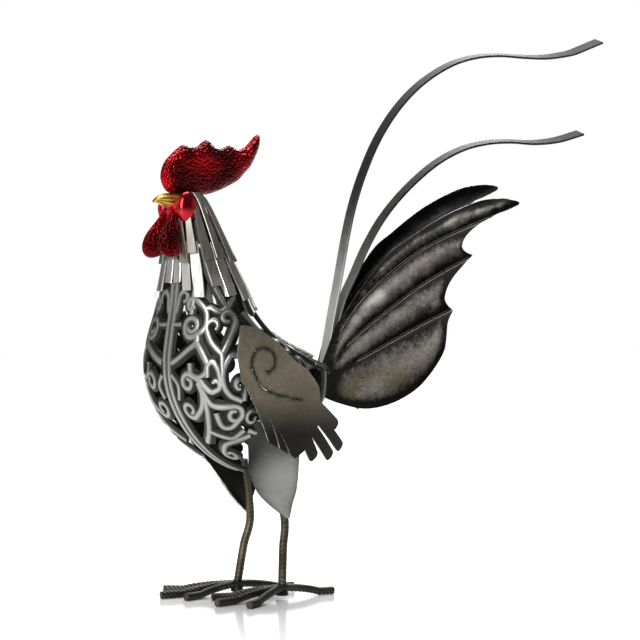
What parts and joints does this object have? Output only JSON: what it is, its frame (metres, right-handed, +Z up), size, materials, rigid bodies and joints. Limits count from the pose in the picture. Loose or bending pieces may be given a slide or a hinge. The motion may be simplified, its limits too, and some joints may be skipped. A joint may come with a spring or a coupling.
{
  "type": "metal rooster figurine",
  "caption": "Standing metal rooster figurine with pierced scrollwork body, strap collar, red comb and wattles, sheet wings, fan tail and long curved tail ribbons.",
  "frame": {"origin": "on the floor under the middle of the standing figure's box", "axes": "+Z up, the beak points to -X, the tail to +X, the figure's own left side is -Y"},
  "size_m": [0.466, 0.1238, 0.4528],
  "materials": {
    "scrollwork": "antiqued silver grey, dark in the hollows",
    "straps": "light grey satin",
    "red_enamel": "dark red glossy metallic, hammered",
    "gilt": "gold, glossy",
    "wing_sheet": "warm taupe, brushed, bright cut edges",
    "thigh_sheet": "grey satin",
    "tail_sheet": "dark, brushed, lighter and brown in the panel middles",
    "ribbon": "light grey satin",
    "twisted_rod": "dark brown grey, ribbed"
  },
  "bodies": {
    "root": {"body_left": "scrollwork", "body_right": "scrollwork", "strap_upper_1_left": "straps", "strap_upper_1_right": "straps", "strap_upper_2_left": "straps", "strap_upper_2_right": "straps", "strap_upper_3_left": "straps", "strap_upper_3_right": "straps", "strap_upper_4_left": "straps", "strap_upper_4_right": "straps", "strap_upper_5_left": "straps", "strap_upper_5_right": "straps", "strap_upper_6_left": "straps", "strap_upper_6_right": "straps", "strap_upper_7_left": "straps", "strap_upper_7_right": "straps", "strap_upper_8_left": "straps", "strap_upper_8_right": "straps", "strap_upper_9_left": "straps", "strap_upper_9_right": "straps", "strap_lower_1_left": "straps", "strap_lower_1_right": "straps", "strap_lower_2_left": "straps", "strap_lower_2_right": "straps", "strap_lower_3_left": "straps", "strap_lower_3_right": "straps", "strap_lower_4_left": "straps", "strap_lower_4_right": "straps", "strap_lower_5_left": "straps", "strap_lower_5_right": "straps", "strap_lower_6_left": "straps", "strap_lower_6_right": "straps", "strap_lower_7_left": "straps", "strap_lower_7_right": "straps", "strap_lower_8_left": "straps", "strap_lower_8_right": "straps", "strap_lower_9_left": "straps", "strap_lower_9_right": "straps", "head": "red_enamel", "comb": "red_enamel", "beak": "gilt", "wattle_left": "red_enamel", "wattle_right": "red_enamel", "wing_left": "wing_sheet", "wing_right": "wing_sheet", "thigh_left": "thigh_sheet", "thigh_right": "thigh_sheet", "rump_cover": "wing_sheet", "tail_plate_left": "tail_sheet", "tail_plate_right": "tail_sheet", "tail_ribbon_long": "ribbon", "tail_ribbon_short": "ribbon", "leg_left": "twisted_rod", "leg_right": "twisted_rod", "foot_left": "twisted_rod", "foot_right": "twisted_rod"}
  },
  "joints": []
}
